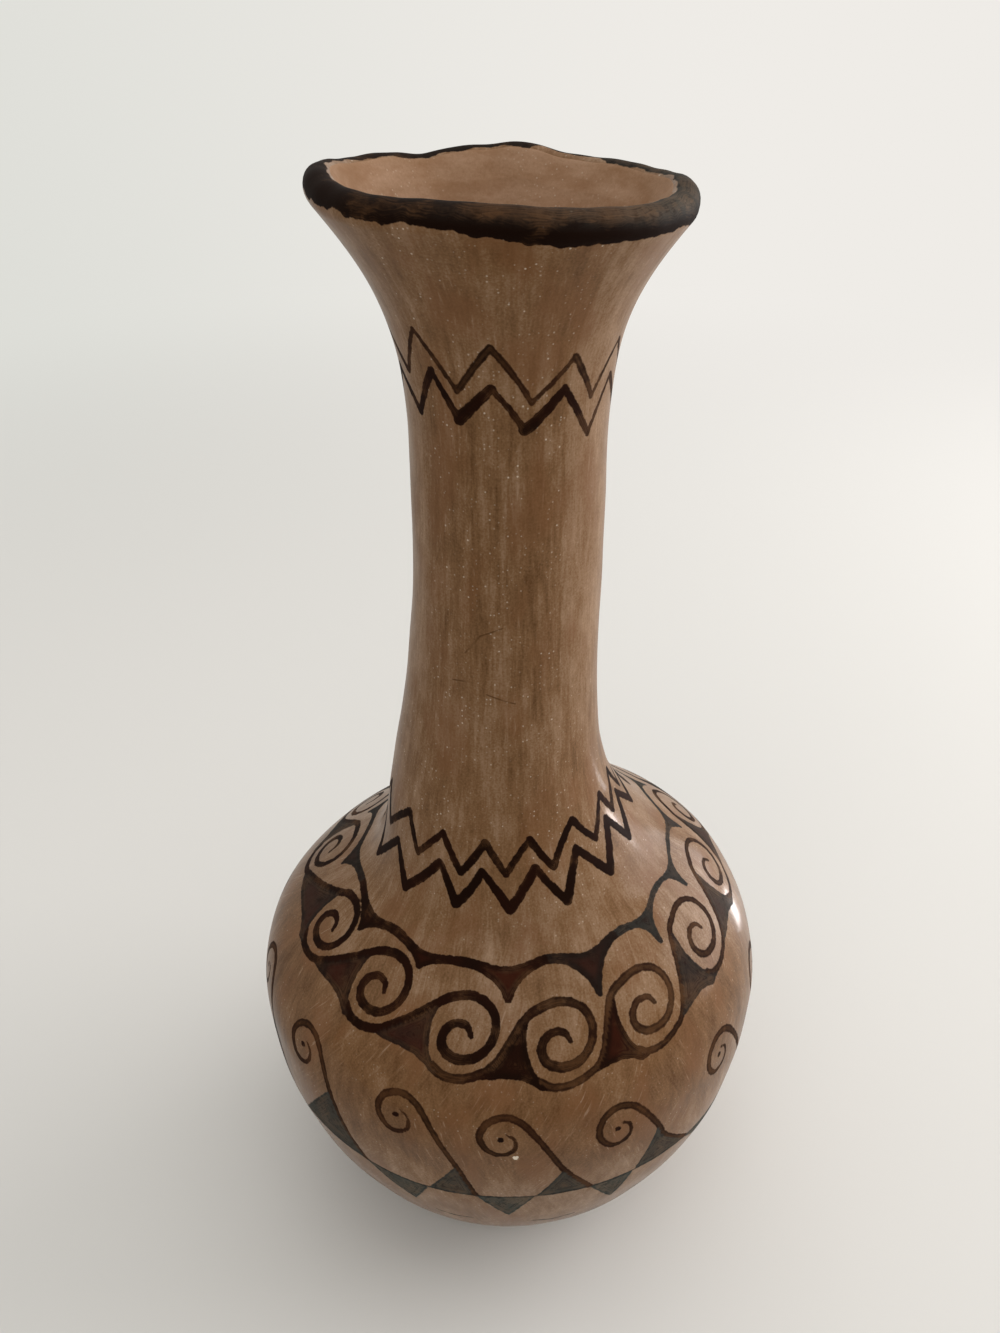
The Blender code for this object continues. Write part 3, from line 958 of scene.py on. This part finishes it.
bare = {
    "dark": (0.235, 0.130, 0.068),
    "pale": (0.352, 0.220, 0.138),
    "tones": (0.2, 0.85),       # of dark and pale
    "red": (0.215, 0.108, 0.050),
    "speck": (0.50, 0.40, 0.30),
    "roughness": 0.62,
    "grainRough": 0.2,
    "sockets": {"Specular IOR Level": 0.05},
    "wipes": (220.0, 4.0, 0.6),
    "wipeStretch": (0.3, 0.3, 1.0),
    "clouds": (45.0, 3.0),
    "grains": (1500.0, 3.0, 0.7),
    "rusts": (120.0, 3.0, 0.6),
    "rustStretch": (1, 1, 2.2),
    "usualTone": 0.52,
    "wipeTone": 1.1,
    "cloudTone": 0.9,
    "grainTone": 0.7,
    "rustFade": (0.45, 0.68),
    "rustShare": 0.45,
    "speckScale": 700.0,
    "speckSize": (0.08, 0.22),
    "speckPlaces": (0.4, 0.6),
    "speckShare": 0.4,
    "relief": (0.5, 0.35, 0.15),    # of wiping, grain and paint
    "bump": {"Strength": 0.3, "Distance": 0.0004},
}


def makeBareClay():
    b = bare
    material, shader, spot = newFinish("bareClay")
    wiped = spot.scaled(b["wipeStretch"]).noise(*b["wipes"])
    rust = spot.scaled(b["rustStretch"]).noise(*b["rusts"])
    cloud, grain = (spot.noise(*b[kind]) for kind in ("clouds", "grains"))
    tone = b["usualTone"] + wiped.swing(b["wipeTone"])
    tone = tone + cloud.swing(b["cloudTone"]) + grain.swing(b["grainTone"])
    colour = tone.ramp(b["tones"], (b["dark"], b["pale"]))
    colour = colour.blend(b["red"], rust.step(*b["rustFade"]) * b["rustShare"])
    cell = spot.node("ShaderNodeTexVoronoi", {}, {"Vector": spot, "Scale": b["speckScale"]}, "Distance")
    speck = (1 - cell.step(*b["speckSize"])) * cloud.step(*b["speckPlaces"])
    colour = colour.blend(b["speck"], speck * b["speckShare"])
    colour, rough, cover = paintOver(spot, colour, b["roughness"] + grain.swing(b["grainRough"]))
    height = sum(layer * rise for layer, rise in zip((wiped, grain, cover), b["relief"]))
    bump = height.node("ShaderNodeBump", {}, {"Height": height, **b["bump"]})
    plug(shader, {"Base Color": colour, "Roughness": rough, "Normal": bump})
    plug(shader, b["sockets"])
    return material


burnishedClay = makeBurnishedClay()
bareClay = makeBareClay()
print("finishes mixed")


def buildVase():
    marks = wall["marks"]
    lipStart = marks["lip"] - form["lipCourse"]
    section, run, count = dishSection(form["dishWall"])
    finishPiece(turnPiece("baseDish", section), "base_dish", section, run, count)
    zones = (("belly", form["dishWall"], marks["belly"]), ("shoulder", marks["belly"], marks["shoulder"]),
             ("neck", marks["shoulder"], marks["neck"]), ("flare", marks["neck"], lipStart))
    for zone, bottom, top in zones:
        count = form["courses"][zone]
        seams = np.linspace(bottom, top, count + 1)
        for i in range(count):
            section, run, outerCount = courseSection(seams[i], seams[i + 1])
            piece = turnPiece(f"{zone}Course{i + 1}", section)
            finishPiece(piece, f"{zone}_coil_{i + 1}", section, run, outerCount)
        print(zone, "built:", count, "courses")
    section, run, count = lipSection(lipStart)
    finishPiece(turnPiece("lipCoil", section), "lip_coil", section, run, count)
    print("lip built")


buildVase()

# The stage: a wide pale floor, soft light and the photograph's camera
stage = {
    "floorSize": 60.0,
    "floorColour": (0.640, 0.625, 0.588),
    "farColour": (0.863, 0.838, 0.799),
    "farLeft": (0.720, 0.723, 0.680),
    "sideFade": (-0.62, 0.25),
    "fade": (0.30, 1.2),        # metres from the vase over which the floor turns into the backdrop
    "roomDark": 0.425,
    "roomPale": 0.725,
    "paleSide": (0.78, 0.40, 0.48),     # the room is paler in this direction
    "paleFade": (-0.6, 0.7),
    "flagAt": -0.33,            # a dark screen behind the camera, which only reflections show
    "flagSpan": (-1.6, 0.80),
    "flagHeight": 0.75,
    "flagColour": (0.05, 0.045, 0.04),
    "lampAim": (0, 0, 0.14),
}


def mattFinish(name, colour):
    material, shader, spot = newFinish(name)
    plug(shader, {"Base Color": (*colour, 1.0), "Roughness": 1.0, "Specular IOR Level": 0.0})
    return material, shader, spot


def seenDirectly(wire):
    camera, glossy, through = (wire.node("ShaderNodeLightPath", out=f"Is {way} Ray")
                               for way in ("Camera", "Glossy", "Transmission"))
    return (camera + glossy + through).step(0.0, 1.0)


def backdrop(place):
    # paler towards the right, by direction from the vase
    away = place.scaled((1, 1, 0)).vector("LENGTH", out="Value")
    side = (place.axis(0) / away).step(*stage["sideFade"])
    return side.ramp((0.0, 1.0), (stage["farLeft"], stage["farColour"])), away


def makeFloor():
    bpy.ops.mesh.primitive_plane_add(size=stage["floorSize"])
    floor = bpy.context.object
    floor.name = "floor"
    material, shader, spot = mattFinish("paleFloor", stage["floorColour"])
    colour, away = backdrop(spot)
    far = away.node("ShaderNodeEmission", {}, {"Color": colour})
    mixed = far.node("ShaderNodeMixShader", {}, {0: away.step(*stage["fade"]) * seenDirectly(away),
                                                 1: Wire(far.tree, shader.outputs[0]), 2: far})
    plug(mixed.tree.nodes["Material Output"], {"Surface": mixed})
    floor.data.materials.append(material)
    floor.select_set(False)


def makeFlag():
    left, right = stage["flagSpan"]
    bpy.ops.mesh.primitive_plane_add(size=1)
    flag = bpy.context.object
    flag.name = "flag"
    flag.scale = (right - left, stage["flagHeight"], 1)
    flag.rotation_euler = (math.pi / 2, 0, 0)
    flag.location = ((left + right) / 2, stage["flagAt"], stage["flagHeight"] / 2)
    bpy.ops.object.transform_apply(location=True, rotation=True, scale=True)
    flag.data.materials.append(mattFinish("darkCloth", stage["flagColour"])[0])
    flag.visible_camera = flag.visible_diffuse = flag.visible_shadow = False
    flag.select_set(False)


def makeWorld():
    world = bpy.data.worlds.new("paleRoom")
    world.use_nodes = True
    bpy.context.scene.world = world
    background = world.node_tree.nodes["Background"]
    way = Wire(world.node_tree, None).node("ShaderNodeTexCoord", out="Generated")
    side = way.vector("DOT_PRODUCT", stage["paleSide"], "Value")
    room = stage["roomDark"] + (stage["roomPale"] - stage["roomDark"]) * side.step(*stage["paleFade"])
    light = way.node("ShaderNodeCombineColor", {}, {0: room, 1: room, 2: room})
    seen = light.blend(backdrop(way)[0], seenDirectly(way))
    plug(background, {"Color": seen})


lamps = {
    "window": {"at": (1.15, 0.42, 0.42), "size": (1.2, 0.84), "power": 15.8, "colour": (1.0, 0.98, 1.0)},
    "ceiling": {"at": (0.1, 0.2, 1.7), "size": (1.8, 1.4), "power": 8.4, "colour": (1.0, 0.99, 0.97)},
    "frontFill": {"at": (-0.30, -1.08, 1.2), "size": (1.2, 1.0), "power": 4.9, "colour": (1.0, 0.98, 0.96)},
}
glints = {                      # bright panes that only reflections show
    "lowGlint": {"at": (0.225, 0.125, 0.030), "size": (0.02, 0.06), "power": 0.0028,
                 "colour": (1.0, 0.94, 0.92), "aim": (0.055, -0.02, 0.100), "spread": math.radians(26)},
    "highGlint": {"at": (0.263, 0.0725, 0.129), "size": (0.02, 0.035), "power": 0.0012,
                  "colour": (1.0, 0.92, 0.90), "aim": (0.029, -0.014, 0.1447), "spread": math.radians(12)},
}


def makeLamp(name, lamp):
    light = bpy.data.lights.new(name, "AREA")
    light.shape = "RECTANGLE"
    light.size, light.size_y = lamp["size"]
    light.energy = lamp["power"]
    light.color = lamp["colour"]
    light.spread = lamp.get("spread", math.pi)
    holder = bpy.data.objects.new(name, light)
    bpy.context.scene.collection.objects.link(holder)
    holder.location = lamp["at"]
    aim = np.array(lamp.get("aim", stage["lampAim"])) - np.array(lamp["at"])
    yaw = math.atan2(aim[0], -aim[1])
    tilt = math.acos(-aim[2] / np.linalg.norm(aim))
    holder.rotation_euler = (tilt, 0.0, yaw + math.pi)
    holder.visible_camera = False
    return holder


def makeLamps():
    for name, lamp in lamps.items():
        makeLamp(name, lamp)
    for name, lamp in glints.items():
        makeLamp(name, lamp).visible_diffuse = False


photoView = {
    "width": 1000,
    "height": 1333,
    "focal": 1100,              # pixels
    "at": (0.0, -0.2497, 0.3426),
    "pitch": 32.29,             # degrees below level
    "axisAt": 509,              # the vase's axis in the picture
    "clip": (0.01, 200),
}


def makeCamera():
    data = bpy.data.cameras.new("photoCamera")
    camera = bpy.data.objects.new("photoCamera", data)
    bpy.context.scene.collection.objects.link(camera)
    data.lens = data.sensor_width * photoView["focal"] / photoView["height"]
    yaw = math.atan((photoView["axisAt"] - photoView["width"] / 2) / photoView["focal"])
    camera.location = photoView["at"]
    camera.rotation_euler = (math.radians(90 - photoView["pitch"]), 0.0, yaw)
    data.clip_start, data.clip_end = photoView["clip"]
    bpy.context.scene.camera = camera


makeFloor()
makeFlag()
makeWorld()
makeLamps()
makeCamera()
bpy.context.scene.view_settings.view_transform = "Standard"
print("stage set")
